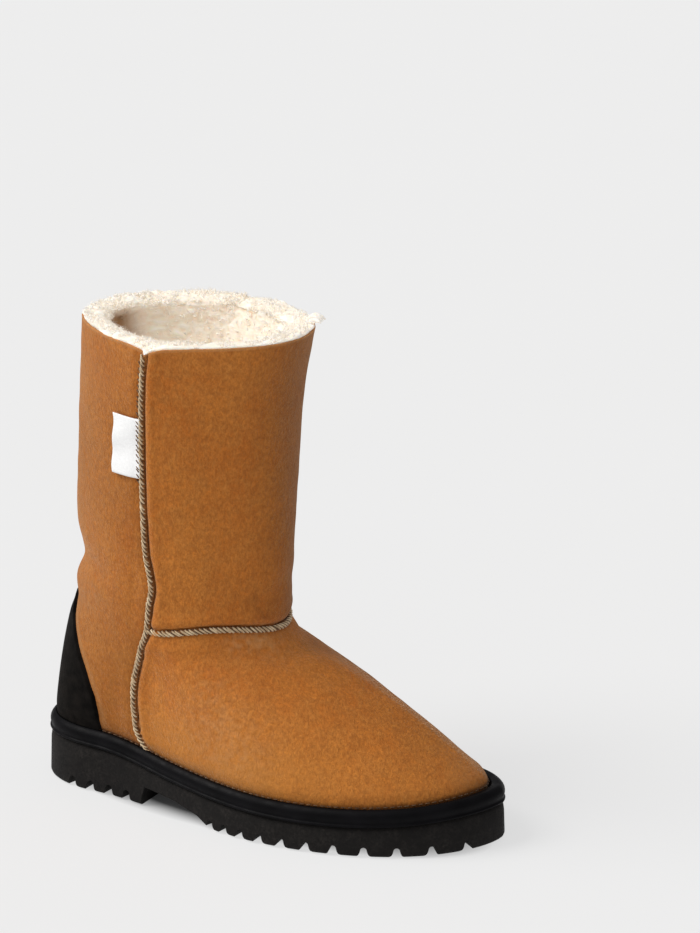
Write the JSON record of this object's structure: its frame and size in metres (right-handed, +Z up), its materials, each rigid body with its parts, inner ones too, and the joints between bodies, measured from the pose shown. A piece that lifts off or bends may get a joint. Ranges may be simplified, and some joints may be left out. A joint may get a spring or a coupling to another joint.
{
  "type": "sheepskin boot",
  "caption": "Mid-calf sheepskin boot for the right foot: tan suede outside, cream fleece inside, black heel counter and a black lugged rubber sole.",
  "frame": {"origin": "on the ground under the middle of the boot's bounding box", "axes": "+X points from the heel to the toe, +Y to the inner side of the right foot, +Z up from the ground to the collar"},
  "size_m": [0.2876, 0.1266, 0.2927],
  "materials": {
    "suede": "napped suede, matte",
    "counter_suede": "napped suede, matte",
    "fleece": "dense curly pile, matte",
    "thread": "overlocked thread, matte",
    "rim_rubber": "smooth, satin",
    "tread_rubber": "matte",
    "insole_fleece": "trodden pile, matte",
    "label_tape": "woven tape, matte"
  },
  "bodies": {
    "root": {"outsole": "tread_rubber", "midsole": "rim_rubber", "insole": "insole_fleece", "upper": "suede", "fleece_lining": "fleece", "heel_counter": "counter_suede", "side_seam_lateral": "thread", "side_seam_medial": "thread", "vamp_seam": "thread", "side_label": "label_tape"}
  },
  "joints": []
}
